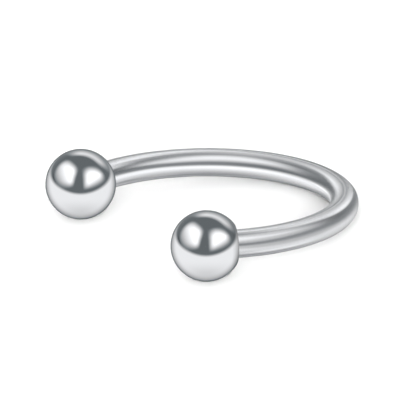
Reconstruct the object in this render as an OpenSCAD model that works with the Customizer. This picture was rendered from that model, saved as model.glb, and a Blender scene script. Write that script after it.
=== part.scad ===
// Horseshoe barbell: a round bar bent to an open ring, with a ball screwed onto each end.
// It lies on a surface, touching it at both balls and at the middle of the bend, so the ring leans.
// The bend points to +Y, the two balls sit at -Y, and the middle plane is X = 0.

/* [Bar] */
// Thickness of the bent bar
bar_d = 1.6; // [1.2:0.1:1.8]
// Width inside the bend, from wall to wall
inside_d = 14; // [13:0.5:18]
// Straight length of bar between the bend and each shoulder
straight_len = 0.2; // [0.1:0.01:0.3]
// Bevel round the edge of each shoulder
shoulder_bevel = 0.03; // [0.01:0.01:0.08]

/* [Balls] */
// Diameter of each ball
ball_d = 4; // [3.5:0.5:5]
// Width of the flat that is faced round each tapped hole
flat_d = 2.35; // [2.2:0.05:2.4]
// Clear width between the two balls
mouth_w = 9.7; // [7:0.1:9.8]
// Metal left between the end of each hole and the back of the ball
hole_end_wall = 0.85; // [0.6:0.05:1.1]

/* [Thread] */
// Distance from one thread ridge to the next
thread_pitch = 0.35; // [0.25:0.05:0.4]
// Depth of the thread, from crest to root
thread_depth = 0.2; // [0.1:0.01:0.22]
// Length of the plain neck between the shoulder and the first ridge
neck_len = 0.16; // [0.05:0.01:0.3]

/* [Clearances] */
// Gap at the seam between each shoulder and its ball
seam_gap = 0.02; // [0.01:0.01:0.05]
// Step from the outside of the bar in to the wall of the hole
seat_w = 0.02; // [0.01:0.01:0.05]
// Gap between the thread's crests and the wall of the hole
thread_gap = 0.03; // [0.02:0.01:0.06]
// Gap between the tip of the thread and the end of the hole
tip_gap = 0.35; // [0.1:0.05:0.6]

/* [Hidden] */
$fn = 128;

// How far the drill starts outside each flat
drill_start = 0.01;

bar_r = bar_d / 2;
ring_r = inside_d / 2 + bar_r;
ball_r = ball_d / 2;

// Distance from the centre of a ball to its flat
flat_dist = sqrt(ball_r * ball_r - flat_d * flat_d / 4);
// Distance along the bar's end from the bend to the centre of the ball
ball_reach = straight_len + seam_gap + flat_dist;

// The ball's centre lies this far from the centre of the ring
ball_ring_r = norm([ring_r, ball_reach]);
// Turn from the middle of the bend to the ball's centre, which sets the mouth
ball_turn = 180 - asin((mouth_w / 2 + ball_r) / ball_ring_r);
// Turn from the middle of the bend to where the bar goes straight
bend_turn = ball_turn - atan2(ball_reach, ring_r);

hole_r = bar_r - seat_w;
hole_depth = flat_dist + ball_r - hole_end_wall;
crest_r = hole_r - thread_gap;
root_r = crest_r - thread_depth;
stud_len = seam_gap + hole_depth - tip_gap;
tip_bevel = 0.1;
ridges = floor((stud_len - neck_len - tip_bevel) / thread_pitch);

// How far the ring leans so that both balls and the bend touch the surface
ball_y = ball_ring_r * cos(ball_turn);
lean = asin((ball_r - bar_r) / (ring_r - ball_y));
ring_z = bar_r + ring_r * sin(lean);
// Shift that puts the origin under the middle of the object's box
back_y = ring_r * cos(lean) + bar_r;
front_y = ball_y * cos(lean) - ball_r;
ring_y = -(back_y + front_y) / 2;

steel = [0.79, 0.8, 0.82];
ball_steel = [0.84, 0.85, 0.87];

// Carries a shape from the ring's own plane to where the ring lies on the surface
module lay_down() {
    translate([0, ring_y, ring_z]) rotate([-lean, 0, 0]) children();
}

// Carries a shape to the end of the bend on the +X side, with its +Z along the bar towards the tip
module at_end() {
    rotate([0, 0, -bend_turn]) translate([0, ring_r, 0]) rotate([0, 90, 0]) children();
}

// The outline of one thread ridge: radius and height, from root to crest and back
function ridge(start) = [
    [root_r, start],
    [crest_r, start + thread_pitch * 0.44],
    [crest_r, start + thread_pitch * 0.56],
];

// Half of the turned end in section: a short straight length, the shoulder, the neck, the ridges and the tip
function end_outline() = let (stud = straight_len, thread = stud + neck_len) concat(
    [
        [0, 0],
        [bar_r, 0],
        [bar_r, stud - shoulder_bevel],
        [bar_r - shoulder_bevel, stud],
        [root_r, stud],
    ],
    [for (i = [0:ridges - 1]) each ridge(thread + i * thread_pitch)],
    [
        [root_r, thread + ridges * thread_pitch],
        [root_r, stud + stud_len - tip_bevel],
        [root_r - tip_bevel, stud + stud_len],
        [0, stud + stud_len],
    ]
);

module turned_end() {
    at_end() rotate_extrude() polygon(end_outline());
}

module bar() {
    color(steel) lay_down() {
        rotate([0, 0, 90 - bend_turn])
            rotate_extrude(angle = 2 * bend_turn) translate([ring_r, 0]) circle(bar_r);
        turned_end();
        mirror([1, 0, 0]) turned_end();
    }
}

// A ball round its own centre, with its flat and its hole facing -Z
module ball() {
    difference() {
        sphere(ball_r);
        translate([-ball_r, -ball_r, -2 * ball_r]) cube([ball_d, ball_d, 2 * ball_r - flat_dist]);
        translate([0, 0, -flat_dist - drill_start]) cylinder(r = hole_r, h = hole_depth + drill_start);
    }
}

module ball_on_end() {
    at_end() translate([0, 0, ball_reach]) ball();
}

module ball_right() {
    color(ball_steel) lay_down() ball_on_end();
}

module ball_left() {
    color(ball_steel) lay_down() mirror([1, 0, 0]) ball_on_end();
}

bar();
ball_left();
ball_right();
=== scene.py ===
from math import asin, atan2, ceil, cos, degrees, hypot, pi, radians, sin, sqrt, tan

import bpy
from mathutils import Matrix, Vector


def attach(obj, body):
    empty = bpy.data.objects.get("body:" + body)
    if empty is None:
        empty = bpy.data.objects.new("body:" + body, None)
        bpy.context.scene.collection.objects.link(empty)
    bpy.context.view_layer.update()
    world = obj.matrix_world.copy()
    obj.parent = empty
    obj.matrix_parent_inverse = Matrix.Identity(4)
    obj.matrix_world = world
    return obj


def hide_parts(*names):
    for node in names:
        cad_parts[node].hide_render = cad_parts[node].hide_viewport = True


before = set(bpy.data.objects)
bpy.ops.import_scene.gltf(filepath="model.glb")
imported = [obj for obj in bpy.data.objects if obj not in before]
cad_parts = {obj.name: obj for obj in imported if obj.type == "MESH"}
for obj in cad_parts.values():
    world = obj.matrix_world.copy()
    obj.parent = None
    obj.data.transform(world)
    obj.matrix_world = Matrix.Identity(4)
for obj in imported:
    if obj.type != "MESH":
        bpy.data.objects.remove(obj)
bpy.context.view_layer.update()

# The bar
# A length of round surgical steel rod, bent cold to an open ring. Grinding and polishing leave very fine
# rings round it. The end of each arm is turned down to a stud with a fine right-hand thread, and the
# shoulder that this leaves is what the ball tightens against.
MM = 0.001
bar_radius = 0.8 * MM
inside_width = 14 * MM
straight_length = 0.2 * MM
shoulder_round = 0.03 * MM
ball_radius = 2 * MM
flat_radius = 1.175 * MM
mouth_width = 9.7 * MM
hole_end_wall = 0.85 * MM
thread_pitch = 0.35 * MM
thread_depth = 0.2 * MM
thread_flank = radians(30)
flank_rounding = 0.4
crest_flat = thread_pitch / 8
neck_length = 0.16 * MM
neck_fillet = 0.05 * MM
tip_bevel = 0.1 * MM
seam_gap = 0.02 * MM
seat_step = 0.02 * MM
thread_clearance = 0.03 * MM
tip_clearance = 0.35 * MM

ring_radius = inside_width / 2 + bar_radius
flat_distance = sqrt(ball_radius ** 2 - flat_radius ** 2)
ball_reach = straight_length + seam_gap + flat_distance
ball_ring_radius = hypot(ring_radius, ball_reach)
ball_turn = pi - asin((mouth_width / 2 + ball_radius) / ball_ring_radius)
bend_turn = ball_turn - atan2(ball_reach, ring_radius)
hole_radius = bar_radius - seat_step
hole_depth = flat_distance + ball_radius - hole_end_wall
crest_radius = hole_radius - thread_clearance
root_radius = crest_radius - thread_depth
stud_length = seam_gap + hole_depth - tip_clearance

# The ring leans on its two balls and on the middle of the bend
ball_y = ball_ring_radius * cos(ball_turn)
lean = asin((ball_radius - bar_radius) / (ring_radius - ball_y))
back_y = ring_radius * cos(lean) + bar_radius
front_y = ball_y * cos(lean) - ball_radius
ring_centre = Vector((0, -(back_y + front_y) / 2, bar_radius + ring_radius * sin(lean)))
to_bend = Vector((0, cos(lean), -sin(lean)))
across = Vector((1, 0, 0))
ring_normal = Vector((0, sin(lean), cos(lean)))


def outward(turn):
    """The direction from the ring's centre at a turn from the middle of the bend."""
    return to_bend * cos(turn) + across * sin(turn)


def onward(turn):
    """The direction along the bar there, towards the right ball."""
    return across * cos(turn) - to_bend * sin(turn)


def between(a, b, steps):
    """Even steps from a to b, without a itself."""
    return [a + (b - a) * i / steps for i in range(1, steps + 1)]


def thread_rise(along, angle, hand):
    """How high the thread stands, from 0 at its root to 1 at its crest, on a helix of the given hand."""
    turn = (along / thread_pitch - hand * angle / (2 * pi)) % 1
    from_crest = abs(turn - 0.5) * thread_pitch
    flank_width = thread_depth * tan(thread_flank)
    fall = min(max((from_crest - crest_flat / 2) / flank_width, 0), 1)
    rounded = fall * fall * (3 - 2 * fall)
    return 1 - (1 - flank_rounding) * fall - flank_rounding * rounded


def stud_radius(along, angle, hand):
    """The radius of the threaded stud at a distance from its shoulder."""
    rise = thread_rise(along, angle, hand)
    run_in = min(max((along - neck_length) / (thread_pitch / 2), 0), 1)
    bevel_line = root_radius - tip_bevel + (stud_length - along)
    return min(root_radius + thread_depth * rise * run_in, bevel_line)


# The end of an arm as rings, each with its distance from the bend, its radius, and whether the thread is
# cut there. The first ring stands at a share of the straight part, and the next just before the edge.
edge_steps = 5
face_steps = 4
rings_per_turn = 18
first_share = 0.3
edge_lead = 0.002 * MM
tip_shares = (0.96, 0.85, 0.6, 0.3, 0.1)
shoulder = straight_length
edge_start = shoulder - shoulder_round
end_rings = [(first_share * edge_start, bar_radius, False), (edge_start - edge_lead, bar_radius, False)]
for angle in between(0, pi / 2, edge_steps):
    radius = bar_radius - shoulder_round * (1 - cos(angle))
    end_rings.append((shoulder - shoulder_round * (1 - sin(angle)), radius, False))
ground_rings = len(end_rings)
for radius in between(bar_radius - shoulder_round, root_radius + neck_fillet, face_steps):
    end_rings.append((shoulder, radius, False))
for angle in between(0, pi / 2, edge_steps):
    radius = root_radius + neck_fillet * (1 - sin(angle))
    end_rings.append((shoulder + neck_fillet * (1 - cos(angle)), radius, False))
thread_steps = ceil((stud_length - neck_fillet) / (thread_pitch / rings_per_turn))
for along in between(neck_fillet, stud_length, thread_steps):
    end_rings.append((shoulder + along, None, True))
tip_radius = root_radius - tip_bevel
for share in tip_shares:
    end_rings.append((shoulder + stud_length, tip_radius * share, False))

bar_sides = 112
bend_steps = 330


def on_arm(side, along):
    """The point on the line of an arm, +1 for the right one, at a distance from the bend."""
    turn = side * bend_turn
    return ring_centre + outward(turn) * ring_radius + onward(turn) * side * along


def round_points(centre, turn, sides, radius_at):
    """A ring of points round the line of the bar. The radius may change with the angle."""
    points = []
    for i in range(sides):
        angle = 2 * pi * i / sides
        out = outward(turn) * cos(angle) + ring_normal * sin(angle)
        points.append(centre + out * radius_at(angle))
    return points


def end_ring(side, ring):
    along, radius, threaded = ring

    def radius_at(angle):
        return stud_radius(along - shoulder, angle, side) if threaded else radius

    return round_points(on_arm(side, along), side * bend_turn, bar_sides, radius_at)


def bend_ring(turn):
    centre = ring_centre + outward(turn) * ring_radius
    return round_points(centre, turn, bar_sides, lambda angle: bar_radius)


def path_lengths(rings):
    """How far along the surface each ring lies, measured on one side of the piece."""
    lengths = [0]
    for a, b in zip(rings, rings[1:]):
        lengths.append(lengths[-1] + (b[0] - a[0]).length)
    return lengths


def skin(name, rings, first_cap, last_cap):
    """Joins rings of points to one closed mesh, with a point at each end.

    Its map says how far along the piece a corner lies, in mm, and how far round it, as a share of a
    turn. The tool marks follow this map.
    """
    sides = len(rings[0])
    points = [point for ring in rings for point in ring] + [first_cap, last_cap]
    first, last = len(points) - 2, len(points) - 1
    lengths = [length / MM for length in path_lengths(rings)]
    faces, corners = [], []
    for k in range(len(rings) - 1):
        here, there = k * sides, (k + 1) * sides
        for i in range(sides):
            j = (i + 1) % sides
            faces.append((here + i, here + j, there + j, there + i))
            corners += [(lengths[k], i / sides), (lengths[k], (i + 1) / sides)]
            corners += [(lengths[k + 1], (i + 1) / sides), (lengths[k + 1], i / sides)]
    end = (len(rings) - 1) * sides
    for i in range(sides):
        j = (i + 1) % sides
        faces.append((first, j, i))
        corners += [(lengths[0], i / sides), (lengths[0], (i + 1) / sides), (lengths[0], i / sides)]
        faces.append((last, end + i, end + j))
        corners += [(lengths[-1], i / sides), (lengths[-1], i / sides), (lengths[-1], (i + 1) / sides)]
    mesh = bpy.data.meshes.new(name)
    mesh.from_pydata(points, [], faces)
    layer = mesh.uv_layers.new(name="along_and_round")
    layer.uv.foreach_set("vector", [value for corner in corners for value in corner])
    mesh.shade_smooth()
    mesh.update()
    piece = bpy.data.objects.new(name, mesh)
    bpy.context.scene.collection.objects.link(piece)
    return piece


def ring_of(face, sides):
    """The ring that a face starts from. Only its first corner may be the point at an end."""
    return face.vertices[1] // sides


left_end = [end_ring(-1, ring) for ring in end_rings]
right_end = [end_ring(1, ring) for ring in end_rings]
bend_turns = [-bend_turn] + between(-bend_turn, bend_turn, bend_steps)
bar_rings = left_end[::-1] + [bend_ring(turn) for turn in bend_turns] + right_end
tip = straight_length + stud_length
bar = skin("bar_piece", bar_rings, on_arm(-1, tip), on_arm(1, tip))

steel_colour = (0.79, 0.80, 0.82, 1)


def input_of(group, name, kind, value):
    socket = group.interface.new_socket(name=name, in_out="INPUT", socket_type=kind)
    socket.default_value = value


def output_of(group, name, kind):
    group.interface.new_socket(name=name, in_out="OUTPUT", socket_type=kind)


def add(tree, kind, place=(0, 0), **values):
    """A node with its properties and the values of its inputs, which are given by name."""
    node = tree.nodes.new(kind)
    node.location = place
    for name, value in values.items():
        if hasattr(node, name):
            setattr(node, name, value)
        else:
            node.inputs[name.replace("_", " ")].default_value = value
    return node


def join(tree, *pairs):
    for start, end in pairs:
        tree.links.new(start, end)


# The marks that a wheel, a die or a lathe leaves: fine rings at a right angle to the length of the
# piece, some deeper than others, and a faint clouding where the polish is a little less bright
marks = bpy.data.node_groups.new("tool_marks", "ShaderNodeTree")
input_of(marks, "Rings per mm", "NodeSocketFloat", 30)
input_of(marks, "Smoothest", "NodeSocketFloat", 0.05)
input_of(marks, "Roughest", "NodeSocketFloat", 0.08)
input_of(marks, "Tint", "NodeSocketColor", steel_colour)
input_of(marks, "Clouding", "NodeSocketFloat", 0.04)
output_of(marks, "Colour", "NodeSocketColor")
output_of(marks, "Roughness", "NodeSocketFloat")
output_of(marks, "Height", "NodeSocketFloat")

# How much of the change in roughness comes from the rings, with clouds for the rest, and the part of the
# noise that is used
rings_share = 0.5
noise_low, noise_high = 0.3, 0.7

given = add(marks, "NodeGroupInput", (-900, 0))
result = add(marks, "NodeGroupOutput", (700, 0))
place_map = add(marks, "ShaderNodeUVMap", (-900, -300), uv_map="along_and_round")
split = add(marks, "ShaderNodeSeparateXYZ", (-720, -300))
ring_count = add(marks, "ShaderNodeMath", (-540, -260), operation="MULTIPLY")
ring_noise = add(
    marks, "ShaderNodeTexNoise", (-360, -260), noise_dimensions="1D", Scale=1, Detail=3, Roughness=0.6
)
position = add(marks, "ShaderNodeTexCoord", (-900, -560))
cloud_noise = add(marks, "ShaderNodeTexNoise", (-360, -560), Scale=900, Detail=4, Roughness=0.55)
cloud_part = add(marks, "ShaderNodeMath", (-340, -60), operation="MULTIPLY")
cloud_part.inputs[1].default_value = 1 - rings_share
both = add(marks, "ShaderNodeMath", (-160, -120), operation="MULTIPLY_ADD")
both.inputs[1].default_value = rings_share
mix_rough = add(marks, "ShaderNodeMapRange", (-60, 100), From_Min=noise_low, From_Max=noise_high)
cloud_shade = add(marks, "ShaderNodeMath", (-160, -480), operation="MULTIPLY")
lighter = add(marks, "ShaderNodeMath", (20, -480), operation="SUBTRACT")
lighter.inputs[0].default_value = 1
shaded = add(marks, "ShaderNodeVectorMath", (280, 300), operation="SCALE")
join(
    marks,
    (place_map.outputs["UV"], split.inputs[0]),
    (split.outputs["X"], ring_count.inputs[0]),
    (given.outputs["Rings per mm"], ring_count.inputs[1]),
    (ring_count.outputs[0], ring_noise.inputs["W"]),
    (position.outputs["Object"], cloud_noise.inputs["Vector"]),
    (cloud_noise.outputs["Fac"], cloud_part.inputs[0]),
    (ring_noise.outputs["Fac"], both.inputs[0]),
    (cloud_part.outputs[0], both.inputs[2]),
    (both.outputs[0], mix_rough.inputs["Value"]),
    (given.outputs["Smoothest"], mix_rough.inputs["To Min"]),
    (given.outputs["Roughest"], mix_rough.inputs["To Max"]),
    (mix_rough.outputs["Result"], result.inputs["Roughness"]),
    (cloud_noise.outputs["Fac"], cloud_shade.inputs[0]),
    (given.outputs["Clouding"], cloud_shade.inputs[1]),
    (cloud_shade.outputs[0], lighter.inputs[1]),
    (given.outputs["Tint"], shaded.inputs[0]),
    (lighter.outputs[0], shaded.inputs["Scale"]),
    (shaded.outputs[0], result.inputs["Colour"]),
    (ring_noise.outputs["Fac"], result.inputs["Height"]),
)


def steel(name, tint, rings_per_mm, smoothest, roughest, clouding, mark_depth, brushed=0):
    """Bare steel with tool marks. Brushed says how much more it spreads light along the piece."""
    material = bpy.data.materials.new(name)
    material.use_nodes = True
    tree = material.node_tree
    shader = tree.nodes["Principled BSDF"]
    shader.inputs["Metallic"].default_value = 1
    shader.inputs["Anisotropic"].default_value = brushed
    finish = add(tree, "ShaderNodeGroup", (-520, 0), node_tree=marks)
    finish.inputs["Rings per mm"].default_value = rings_per_mm
    finish.inputs["Tint"].default_value = tint
    finish.inputs["Smoothest"].default_value = smoothest
    finish.inputs["Roughest"].default_value = roughest
    finish.inputs["Clouding"].default_value = clouding
    bump = add(tree, "ShaderNodeBump", (-240, -240), Strength=1, Distance=mark_depth)
    join(
        tree,
        (finish.outputs["Colour"], shader.inputs["Base Color"]),
        (finish.outputs["Roughness"], shader.inputs["Roughness"]),
        (finish.outputs["Height"], bump.inputs["Height"]),
        (bump.outputs["Normal"], shader.inputs["Normal"]),
    )
    if brushed:
        along = add(tree, "ShaderNodeTangent", (-240, -420), direction_type="UV_MAP")
        along.uv_map = "along_and_round"
        join(tree, (along.outputs["Tangent"], shader.inputs["Tangent"]))
    return material


ground_steel = steel(
    "ground_steel",
    steel_colour,
    rings_per_mm=6,
    smoothest=0.195,
    roughest=0.22,
    clouding=0.03,
    mark_depth=0.000002 * MM,
    brushed=1,
)
turned_steel = steel(
    "turned_steel",
    steel_colour,
    rings_per_mm=40,
    smoothest=0.16,
    roughest=0.26,
    clouding=0.06,
    mark_depth=0.0004 * MM,
)
bar.data.materials.append(ground_steel)
bar.data.materials.append(turned_steel)

# The shoulders and the studs are left as the lathe and the die cut them
turned = 1
turned_rings = len(end_rings) - ground_rings
for face in bar.data.polygons:
    ring = ring_of(face, bar_sides)
    if ring < turned_rings or ring > len(bar_rings) - 2 - turned_rings:
        face.material_index = turned

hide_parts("bar")
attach(bar, "bar")
bar.visible_glossy = False

# The two balls
# Each is a turned steel ball with a small flat faced on it, where a hole is drilled and tapped for the
# stud. Tumbled in fine media to a mirror, so they are brighter and clearer than the bar.
ball_sides = 160
edge_round = 0.03 * MM
mouth_bevel = 0.012 * MM
groove_depth = 0.09 * MM
tap_start = 0.1 * MM
tap_end_gap = 0.05 * MM
drill_point = radians(118)
cone_depth = hole_radius / tan(drill_point / 2)
bore_end = hole_depth - cone_depth

# The outline of a ball from its back to the end of its hole: distance along its axis, distance from the
# axis, and in the tapped part the depth from the mouth
round_steps = 124
ball_edge_steps = 7
flat_steps = 6
bevel_steps = 2
cone_shares = (0.97, 0.8, 0.6, 0.4, 0.2, 0.05)
round_centre_z = flat_distance - edge_round
round_centre_r = sqrt((ball_radius - edge_round) ** 2 - round_centre_z ** 2)
edge_angle = pi - atan2(round_centre_r, round_centre_z)
ball_outline = []
for angle in between(0, edge_angle, round_steps):
    ball_outline.append((ball_radius * cos(angle), ball_radius * sin(angle), None))
for angle in between(edge_angle, pi, ball_edge_steps):
    out = round_centre_r + edge_round * sin(angle)
    ball_outline.append((-round_centre_z + edge_round * cos(angle), out, None))
polished_rings = len(ball_outline)
for radius in between(round_centre_r, hole_radius + mouth_bevel, flat_steps):
    ball_outline.append((-flat_distance, radius, None))
faced_rings = len(ball_outline)
for step in between(0, mouth_bevel, bevel_steps):
    ball_outline.append((-flat_distance + step, hole_radius + mouth_bevel - step, None))
bore_steps = ceil(bore_end / (thread_pitch / rings_per_turn))
for depth in between(mouth_bevel, bore_end, bore_steps):
    ball_outline.append((-flat_distance + depth, hole_radius, depth))
for share in cone_shares:
    ball_outline.append((-flat_distance + hole_depth - cone_depth * share, hole_radius * share, None))

tumbled_steel = steel(
    "tumbled_steel",
    (0.84, 0.85, 0.87, 1),
    rings_per_mm=3,
    smoothest=0.045,
    roughest=0.075,
    clouding=0.02,
    mark_depth=0.000004 * MM,
)
# The tapped hole's colour is painted darker than the rest of the steel: painted shade inside the hole,
# which nothing in the steel's mirror shades, since no piece is seen in another's mirror.
tapped_steel_painted_dark = steel(
    "tapped_steel_painted_dark",
    (0.45, 0.46, 0.48, 1),
    rings_per_mm=40,
    smoothest=0.2,
    roughest=0.3,
    clouding=0.1,
    mark_depth=0.0004 * MM,
)

# Round its mouth a ball would mirror the bar, which is kept out of its mirror, so the ball's colour is
# painted darker
# there: a painted reflection of the bar, as painted shade. The reach and the edge are in mm along the
# outline.
shade_reach = 0.72
painted_mouth_shade = 0.52
outline_steps = zip(ball_outline, ball_outline[1:polished_rings])
edge_at = sum(hypot(b[0] - a[0], b[1] - a[1]) for a, b in outline_steps) / MM
tree = tumbled_steel.node_tree
shader = tree.nodes["Principled BSDF"]
along_map = add(tree, "ShaderNodeUVMap", (-900, 300), uv_map="along_and_round")
along_split = add(tree, "ShaderNodeSeparateXYZ", (-720, 300))
shade = add(tree, "ShaderNodeMapRange", (-540, 300), To_Min=1, To_Max=painted_mouth_shade)
shade.inputs["From Min"].default_value = edge_at - shade_reach
shade.inputs["From Max"].default_value = edge_at
# The steel's colour times the painted shade round the mouth
steel_with_painted_reflection = add(tree, "ShaderNodeVectorMath", (-240, 300), operation="SCALE")
join(
    tree,
    (along_map.outputs["UV"], along_split.inputs[0]),
    (along_split.outputs["X"], shade.inputs["Value"]),
    (shader.inputs["Base Color"].links[0].from_socket, steel_with_painted_reflection.inputs[0]),
    (shade.outputs["Result"], steel_with_painted_reflection.inputs["Scale"]),
    (steel_with_painted_reflection.outputs[0], shader.inputs["Base Color"]),
)


def bore_radius(depth, angle, hand):
    """The wall of the tapped hole. The groove fades in at the mouth and out at the end of the tap."""
    rise = thread_rise(depth + seam_gap, angle, hand)
    run_in = min(max((depth - tap_start) / thread_pitch, 0), 1)
    run_out = min(max((bore_end - tap_end_gap - depth) / (thread_pitch / 2), 0), 1)
    return hole_radius + groove_depth * rise * run_in * run_out


def ball_ring(side, centre, radius, depth):
    def radius_at(angle):
        return radius if depth is None else bore_radius(depth, angle, side)

    return round_points(centre, side * bend_turn, ball_sides, radius_at)[::-side]


faced, tapped = 1, 2
balls = []
for ball_name, side in (("ball_left", -1), ("ball_right", 1)):
    axis = onward(side * bend_turn) * side
    centre = on_arm(side, ball_reach)
    rings = []
    for along, radius, depth in ball_outline:
        rings.append(ball_ring(side, centre + axis * along, radius, depth))
    back = centre + axis * ball_radius
    hole_end = centre + axis * (hole_depth - flat_distance)
    ball = skin(ball_name + "_piece", rings, back, hole_end)
    ball.data.materials.append(tumbled_steel)
    ball.data.materials.append(turned_steel)
    ball.data.materials.append(tapped_steel_painted_dark)
    for face in ball.data.polygons:
        ring = ring_of(face, ball_sides)
        if ring >= faced_rings - 1:
            face.material_index = tapped
        elif ring >= polished_rings - 1:
            face.material_index = faced
    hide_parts(ball_name)
    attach(ball, ball_name)
    ball.visible_glossy = False
    balls.append(ball)

# The table
# A large matt white board. The steel doesn't mirror it: what the steel shows of a white table is in the
# studio below, with the soft edge that a curved board has.
table_size = 1.2
board_colour = (0.9, 0.9, 0.9, 1)
half = table_size / 2
table_corners = [(-half, -half, 0), (half, -half, 0), (half, half, 0), (-half, half, 0)]
table_mesh = bpy.data.meshes.new("table")
table_mesh.from_pydata(table_corners, [], [(0, 1, 2, 3)])
table = bpy.data.objects.new("table", table_mesh)
bpy.context.scene.collection.objects.link(table)
board = bpy.data.materials.new("white_board")
board.use_nodes = True
shader = board.node_tree.nodes["Principled BSDF"]
shader.inputs["Base Color"].default_value = board_colour
shader.inputs["Roughness"].default_value = 1
shader.inputs["Specular IOR Level"].default_value = 0
table_mesh.materials.append(board)
table.visible_glossy = False

# The camera
# A long lens from a little above the table, at the photograph's angle and turned a little round its own
# axis. The ring's centre falls at ring_px in the frame, in pixels from its left and its top.
pixels = 400
lens = 1400
sensor = 36
view_turn = radians(31.207)
view_height = radians(17.35)
view_roll = radians(-0.213)
px_per_metre = 17720
ring_px = (206.22, 203.15)

room_right = to_bend * cos(view_turn) + across * sin(view_turn)
room_away = to_bend * sin(view_turn) - across * cos(view_turn)
room_up = ring_normal
towards = room_up * sin(view_height) - room_away * cos(view_height)
frame_up = room_away * sin(view_height) + room_up * cos(view_height)
image_right = room_right * cos(view_roll) + frame_up * sin(view_roll)
image_up = frame_up * cos(view_roll) - room_right * sin(view_roll)

camera_data = bpy.data.cameras.new("camera")
camera_data.lens = lens
camera_data.sensor_width = sensor
camera_data.clip_start = 0.1
camera_data.clip_end = 5
camera = bpy.data.objects.new("camera", camera_data)
bpy.context.scene.collection.objects.link(camera)
facing_camera = Matrix((image_right, image_up, towards)).transposed().to_4x4()
aim = ring_centre - image_right * (ring_px[0] - pixels / 2) / px_per_metre
aim = aim + image_up * (ring_px[1] - pixels / 2) / px_per_metre
distance = lens / sensor * pixels / px_per_metre
camera.matrix_world = Matrix.Translation(aim + towards * distance) @ facing_camera
bpy.context.scene.camera = camera

# The studio
# As a photographer of jewellery does, the bar and the balls each get their own soft boxes and dark
# cards, set in two big rooms that nothing else mirrors. A room is a level of brightness for each
# direction, and each light or card is laid over what is under it.


def wired(tree, kind, *inputs, **values):
    """The first output of a node whose inputs are given in order, as values or as outputs of nodes."""
    node = add(tree, kind, **values)
    for socket, value in zip(node.inputs, inputs):
        if isinstance(value, bpy.types.NodeSocket):
            tree.links.new(value, socket)
        else:
            socket.default_value = value
    return node.outputs[0]


def number(tree, operation, *inputs):
    return wired(tree, "ShaderNodeMath", *inputs, operation=operation)


def facing(tree, looked, axis):
    """How far the looked direction points along an axis."""
    output = wired(tree, "ShaderNodeVectorMath", looked, axis, operation="DOT_PRODUCT")
    return output.node.outputs["Value"]


def soft_step(tree, value, low, high):
    """0 where the value is at low or under, 1 at high or over, and smooth between."""
    return wired(tree, "ShaderNodeMapRange", value, low, high, interpolation_type="SMOOTHSTEP")


def between_levels(tree, share, a, b):
    """Level a where the share is 0 and b where it is 1."""
    return wired(tree, "ShaderNodeMapRange", share, 0, 1, a, b, clamp=False)


def new_group(name, vectors, numbers):
    """A node group that takes a direction, more vectors, the level under it and numbers.

    It gives back one level of brightness.
    """
    group = bpy.data.node_groups.new(name, "ShaderNodeTree")
    for label in ("Direction",) + vectors:
        input_of(group, label, "NodeSocketVector", (0, 0, 1))
    for label in ("Under",) + numbers:
        input_of(group, label, "NodeSocketFloat", 0)
    output_of(group, "Level", "NodeSocketFloat")
    given = group.nodes.new("NodeGroupInput")
    return group, dict(given.outputs.items())


def give_back(group, level):
    result = group.nodes.new("NodeGroupOutput")
    group.links.new(level, result.inputs[0])


# A soft box. Its half sizes are shares of its distance. Shift and rise say how much brighter it gets
# towards its right side and its top. Lean says how much wider it gets towards its top, and flare how
# much higher towards its right side. Seen by is 1 where the steel mirrors it and 0 where it doesn't.
box_sizes = ("Half width", "Half height", "Softness", "Brightness")
box_changes = ("Shift", "Rise", "Lean", "Flare", "Seen by")
least_ahead = 0.03
widest_change = 1.5
least_glow = 0.05
brightest = 1.6

soft_box, given = new_group("soft_box", ("Middle", "Side", "Top"), box_sizes + box_changes)
ahead = facing(soft_box, given["Direction"], given["Middle"])
depth = number(soft_box, "MAXIMUM", ahead, least_ahead)
sideways = number(soft_box, "DIVIDE", facing(soft_box, given["Direction"], given["Side"]), depth)
upwards = number(soft_box, "DIVIDE", facing(soft_box, given["Direction"], given["Top"]), depth)
inner_edge = number(soft_box, "MULTIPLY", given["Softness"], 0.5)
outer_edge = number(soft_box, "MULTIPLY", given["Softness"], -0.5)
inside, slopes = [], []
for here, other, size, growth, change in (
    (sideways, upwards, "Half width", "Lean", "Shift"),
    (upwards, sideways, "Half height", "Flare", "Rise"),
):
    held = wired(soft_box, "ShaderNodeClamp", other, -widest_change, widest_change)
    grown = number(soft_box, "MULTIPLY_ADD", held, given[growth], 1)
    reach = number(soft_box, "MULTIPLY", grown, given[size])
    within = number(soft_box, "SUBTRACT", reach, number(soft_box, "ABSOLUTE", here))
    inside.append(soft_step(soft_box, within, outer_edge, inner_edge))
    place = number(soft_box, "DIVIDE", here, given[size])
    slopes.append(number(soft_box, "MULTIPLY", place, given[change]))
in_front = number(soft_box, "GREATER_THAN", ahead, least_ahead)
share = number(soft_box, "MULTIPLY", number(soft_box, "MULTIPLY", *inside), in_front)
share = number(soft_box, "MULTIPLY", share, given["Seen by"])
slope = number(soft_box, "ADD", number(soft_box, "ADD", *slopes), 1)
glow = number(soft_box, "MULTIPLY", number(soft_box, "MAXIMUM", slope, least_glow), given["Brightness"])
lit = number(soft_box, "MINIMUM", glow, brightest)
give_back(soft_box, between_levels(soft_box, share, given["Under"], lit))

# The table as the steel sees it, with an edge that rises and falls round the room, in degrees over the
# level. It darkens towards straight down, and one side of it may be brighter.
table_edge = ("Edge", "Swing", "Double swing", "Blur")
table_light = ("Far level", "Near level", "Darkens from", "Side light", "Side azimuth")
straight_down = -90

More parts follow.
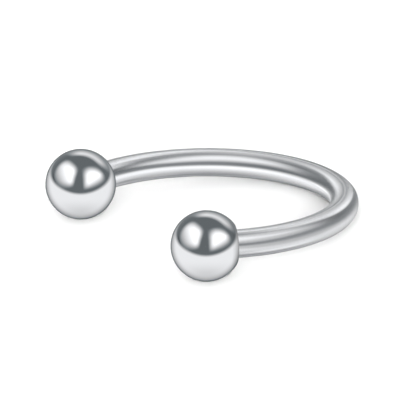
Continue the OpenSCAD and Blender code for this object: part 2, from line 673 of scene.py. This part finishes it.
seen_table, given = new_group("seen_table", (), table_edge + table_light)
height = facing(seen_table, given["Direction"], room_up)
steepness = number(seen_table, "MULTIPLY", number(seen_table, "ARCSINE", height), degrees(1))
away = facing(seen_table, given["Direction"], room_away)
right = facing(seen_table, given["Direction"], room_right)
azimuth = number(seen_table, "ARCTAN2", right, away)
swing = number(seen_table, "COSINE", azimuth)
double_swing = number(seen_table, "COSINE", number(seen_table, "MULTIPLY", azimuth, 2))
edge = number(seen_table, "MULTIPLY_ADD", swing, given["Swing"], given["Edge"])
edge = number(seen_table, "MULTIPLY_ADD", double_swing, given["Double swing"], edge)
inner_blur = number(seen_table, "MULTIPLY", given["Blur"], 0.5)
outer_blur = number(seen_table, "MULTIPLY", given["Blur"], -0.5)
share = soft_step(seen_table, number(seen_table, "SUBTRACT", edge, steepness), outer_blur, inner_blur)
nearer = soft_step(seen_table, steepness, given["Darkens from"], straight_down)
level = between_levels(seen_table, nearer, given["Far level"], given["Near level"])
side_azimuth = number(seen_table, "RADIANS", given["Side azimuth"])
from_side = number(seen_table, "COSINE", number(seen_table, "SUBTRACT", azimuth, side_azimuth))
side_light = number(seen_table, "MULTIPLY_ADD", from_side, given["Side light"], 1)
level = number(seen_table, "MULTIPLY", level, side_light)
give_back(seen_table, between_levels(seen_table, share, given["Under"], level))

# A round dark card: full within its reach, in degrees, and gone past its fade
dark_card, given = new_group("dark_card", ("Middle",), ("Reach", "Fade", "Darkness"))
cosine = number(dark_card, "MINIMUM", facing(dark_card, given["Direction"], given["Middle"]), 1)
angle = number(dark_card, "MULTIPLY", number(dark_card, "ARCCOSINE", cosine), degrees(1))
gone = number(dark_card, "ADD", given["Reach"], given["Fade"])
share = soft_step(dark_card, angle, gone, given["Reach"])
give_back(dark_card, between_levels(dark_card, share, given["Under"], given["Darkness"]))


def direction(azimuth, elevation):
    """A direction in the room, in degrees: azimuth 0 is away from the camera and 90 is to its right."""
    a, e = radians(azimuth), radians(elevation)
    return (room_right * sin(a) + room_away * cos(a)) * cos(e) + room_up * sin(e)


def box_axes(azimuth, elevation, roll):
    """The directions to the middle of a box, to its right side and to its top."""
    middle = direction(azimuth, elevation)
    level = direction(azimuth + 90, 0)
    steep = level.cross(middle)
    r = radians(roll)
    return middle, level * cos(r) + steep * sin(r), steep * cos(r) - level * sin(r)


# The direction that the camera looks in, where every edge of the steel mirrors
straight_on = (0, -degrees(view_height))
# How gently what the ring's outer side mirrors gives way to what its inner side mirrors
side_blend = 3 * MM
# The brightness up to which a room keeps its dark tint, and from which it is white
tint_from, tint_to = 0.1, 0.6
# Between no bounce off the table and one
half_a_bounce = 0.5
# The places of the two colours and of the mixed one among the sockets of a mix
mix_dark, mix_white, mix_result = 6, 7, 2
cube = [(x, y, z) for x in (-1, 1) for y in (-1, 1) for z in (-1, 1)]
walls = [(0, 1, 3, 2), (4, 6, 7, 5), (0, 4, 5, 1), (2, 3, 7, 6), (0, 2, 6, 4), (1, 5, 7, 3)]


class Room:
    """A room that only the given pieces mirror. It can't be seen, and it lights nothing else."""

    def __init__(self, name, half_size, pieces, wall_level):
        mesh = bpy.data.meshes.new(name)
        mesh.from_pydata([Vector(corner) * half_size for corner in cube], [], walls)
        shell = bpy.data.objects.new(name, mesh)
        bpy.context.scene.collection.objects.link(shell)
        shell.location = ring_centre
        shell.visible_camera = False
        shell.visible_diffuse = False
        shell.visible_transmission = False
        shell.visible_volume_scatter = False
        shell.visible_shadow = False
        mirrored_by = bpy.data.collections.new(name + "_lights")
        for piece in pieces:
            mirrored_by.objects.link(piece)
        shell.light_linking.receiver_collection = mirrored_by
        material = bpy.data.materials.new(name)
        material.use_nodes = True
        material.cycles.emission_sampling = "NONE"
        mesh.materials.append(material)
        tree = self.tree = material.node_tree
        tree.nodes.clear()
        place = add(tree, "ShaderNodeTexCoord").outputs["Object"]
        self.looked = wired(tree, "ShaderNodeVectorMath", place, operation="NORMALIZE")
        self.level = wall_level
        # The outer side of the ring is nearer to the wall that it mirrors than the ring's centre is
        length = wired(tree, "ShaderNodeVectorMath", place, operation="LENGTH")
        from_centre = length.node.outputs["Value"]
        from_steel = add(tree, "ShaderNodeLightPath").outputs["Ray Length"]
        nearer = number(tree, "SUBTRACT", from_centre, from_steel)
        outer = soft_step(tree, nearer, -side_blend, side_blend)
        self.seen_by = {"both": 1, "outer": outer, "inner": number(tree, "SUBTRACT", 1, outer)}

    def lay(self, group, vectors, *numbers):
        """Lays a light or a card over what the room has so far."""
        inputs = (self.looked,) + vectors + (self.level,) + numbers
        self.level = wired(self.tree, "ShaderNodeGroup", *inputs, node_tree=group)

    def box(self, at, roll, half, softness, level, slope=(0, 0), growth=(0, 0), side="both"):
        """A soft box, or a dark flag if its level is low. One or both sides of the ring mirror it."""
        numbers = (*half, softness, level, *slope, *growth, self.seen_by[side])
        self.lay(soft_box, box_axes(*at, roll), *numbers)

    def table(self, edge, swings, blur, levels, darkens_from, side_light=0, side_azimuth=0):
        numbers = (edge, *swings, blur, *levels, darkens_from, side_light, side_azimuth)
        self.lay(seen_table, (), *numbers)

    def card(self, at, reach, fade, darkness):
        self.lay(dark_card, (direction(*at),), reach, fade, darkness)

    def finish(self, dark_tint):
        """Gives the levels their colour. Steel passes none of their light on to the table."""
        tree = self.tree
        tint = add(tree, "ShaderNodeMix", data_type="RGBA")
        tint.inputs[mix_dark].default_value = dark_tint
        tint.inputs[mix_white].default_value = (1, 1, 1, 1)
        tree.links.new(soft_step(tree, self.level, tint_from, tint_to), tint.inputs["Factor"])
        past_table = add(tree, "ShaderNodeLightPath").outputs["Diffuse Depth"]
        direct = number(tree, "LESS_THAN", past_table, half_a_bounce)
        shown = add(tree, "ShaderNodeVectorMath", operation="SCALE")
        tree.links.new(tint.outputs[mix_result], shown.inputs[0])
        tree.links.new(number(tree, "MULTIPLY", self.level, direct), shown.inputs["Scale"])
        light = wired(tree, "ShaderNodeEmission", shown.outputs[0], 1)
        clear = tree.nodes.new("ShaderNodeBsdfTransparent").outputs[0]
        out = tree.nodes.new("ShaderNodeOutputMaterial")
        tree.links.new(wired(tree, "ShaderNodeAddShader", light, clear), out.inputs["Surface"])


# The bar's room
# Six soft boxes and flags show over the edge of the white table. Twelve boards are laid over both. Most
# are so near the ring that only its outer side or only its inner side mirrors them.
bar_room = Room("bar_room", 2, [bar], wall_level=0.29)
bar_room.box(
    (-5, 56),
    -33,
    half=(1.02, 0.47),
    softness=0.31,
    level=0.92,
    slope=(0.99, 0.17),
    growth=(-0.09, -0.18),
)
bar_room.box(
    (218, 50), -22, half=(2, 0.41), softness=0.86, level=1.2, slope=(0.08, 0.06), growth=(-0.36, -0.47)
)
bar_room.box(
    (67, 50), -2, half=(1.12, 0.21), softness=0.14, level=2.02, slope=(1, 0.59), growth=(-0.65, 0.04)
)
bar_room.box(
    (-16, 27), 3, half=(0.25, 0.3), softness=0.04, level=0.91, slope=(-0.77, -0.73), growth=(-0.54, 0.21)
)
bar_room.box(
    (-90, 2), -12, half=(3, 0.29), softness=1.4, level=0.14, slope=(-1, -0.05), growth=(-0.61, 0.65)
)
bar_room.box(
    (68, 40), -19, half=(0.25, 0.51), softness=0.17, level=0.06, slope=(1, -1), growth=(0.17, -0.28)
)
bar_room.table(
    edge=-9.9,
    swings=(2.8, 1.1),
    blur=27,
    levels=(1.46, 0.34),
    darkens_from=10,
    side_light=0.2,
    side_azimuth=-153,
)
bar_room.box((122, -17), -8, half=(1.2, 0.27), softness=0.65, level=0.59, side="outer")
bar_room.box((94, -57), 38, half=(0.17, 0.36), softness=0.67, level=1.35, side="outer")
bar_room.box((-23, -10), 9, half=(0.84, 0.06), softness=0.05, level=1.6)
bar_room.box((88, 60), 2, half=(0.16, 0.49), softness=0.6, level=1.08, side="outer")
bar_room.box((120, 33), -14, half=(0.75, 0.19), softness=0.28, level=0.7, side="outer")
bar_room.box((28, 80), -25, half=(0.07, 0.36), softness=0.38, level=0.1)
bar_room.box((104, -16), -2, half=(0.93, 0.17), softness=0.43, level=1.27, side="inner")
bar_room.box((82, 48), 5, half=(0.52, 0.74), softness=0.93, level=0.12, side="inner")
bar_room.box((59, 49), -60, half=(0.32, 0.22), softness=0.33, level=1.3, side="inner")
bar_room.box((63, -54), 60, half=(0.14, 0.14), softness=0.19, level=0.04, side="inner")
bar_room.box((5, 6), 60, half=(0.14, 0.12), softness=0.13, level=0.1, side="outer")
bar_room.box((19, 17), -6, half=(0.08, 0.08), softness=0.06, level=0.96, side="outer")
bar_room.card((-15, -38), reach=19, fade=5, darkness=0.41)
bar_room.card(straight_on, reach=2, fade=35, darkness=0.06)
bar_room.finish(dark_tint=(0.943, 1.008, 1.046, 1))

# The balls' room
# Three soft boxes, one behind the balls and one at each side, show over the edge of the white table. A
# dark card low behind them dims that table, and the one straight behind them darkens their edge.
ball_room = Room("ball_room", 2.4, balls, wall_level=0.154)
ball_room.box((21, 24), -8, half=(0.59, 0.48), softness=0.58, level=0.62, slope=(-0.26, 0.87))
ball_room.box(
    (-104, 33),
    -18,
    half=(0.81, 0.62),
    softness=0.73,
    level=1.04,
    slope=(-0.78, 0.62),
    growth=(-0.27, 0.07),
)
ball_room.box(
    (123, 36), 8, half=(0.58, 0.35), softness=0.78, level=1.82, slope=(0.17, 0.06), growth=(-0.85, 0.87)
)
ball_room.table(edge=-3, swings=(9.6, -2.7), blur=13, levels=(0.99, 0.75), darkens_from=-30)
ball_room.card((2, -21), reach=14, fade=60, darkness=0.26)
ball_room.card(straight_on, reach=2, fade=36, darkness=0.12)
ball_room.finish(dark_tint=(0.92, 1.016, 1.06, 1))

# The tent
# A low white tent over the table, bright up to 20 degrees and dimmer overhead, with a strong lamp low
# behind the camera. It lights the table alone, and the camera sees plain white beyond the table.
tent_bright_to, tent_dim_from = 20, 40
tent_low_level, tent_top_level = 1.64, 0.69
lamp_azimuth = radians(175.2)
lamp_half_width = radians(27.6)
lamp_full_to, lamp_gone_from = 12, 42
lamp_level = 30.5
least_across = 0.001

world = bpy.data.worlds.new("tent")
bpy.context.scene.world = world
world.use_nodes = True
world.cycles.sampling_method = "NONE"
tent = world.node_tree
tent.nodes.clear()
looked = add(tent, "ShaderNodeTexCoord").outputs["Generated"]
level_right = Vector((room_right.x, room_right.y, 0)).normalized()
level_away = Vector((0, 0, 1)).cross(level_right)
upward = facing(tent, looked, (0, 0, 1))
steepness = number(tent, "MULTIPLY", number(tent, "ARCSINE", upward), degrees(1))
overhead = soft_step(tent, steepness, tent_bright_to, tent_dim_from)
walls_level = between_levels(tent, overhead, tent_low_level, tent_top_level)
lamp_side = level_right * sin(lamp_azimuth) + level_away * cos(lamp_azimuth)
across_level = number(tent, "SQRT", number(tent, "SUBTRACT", 1, number(tent, "POWER", upward, 2)))
across_level = number(tent, "MAXIMUM", across_level, least_across)
aside = number(tent, "DIVIDE", facing(tent, looked, lamp_side), across_level)
lamp_wide = soft_step(tent, aside, cos(lamp_half_width), 1)
lamp_high = soft_step(tent, steepness, lamp_gone_from, lamp_full_to)
lamp = number(tent, "MULTIPLY", number(tent, "MULTIPLY", lamp_wide, lamp_high), lamp_level)
on_table = number(tent, "ADD", walls_level, lamp)
rays = add(tent, "ShaderNodeLightPath").outputs
lit = number(tent, "MULTIPLY", on_table, rays["Is Diffuse Ray"])
lit = number(tent, "MAXIMUM", lit, rays["Is Camera Ray"])
out = tent.nodes.new("ShaderNodeOutputWorld")
tent.links.new(wired(tent, "ShaderNodeBackground", lit, 1), out.inputs["Surface"])

bpy.context.scene.view_settings.view_transform = "Standard"
bpy.context.scene.view_settings.look = "None"
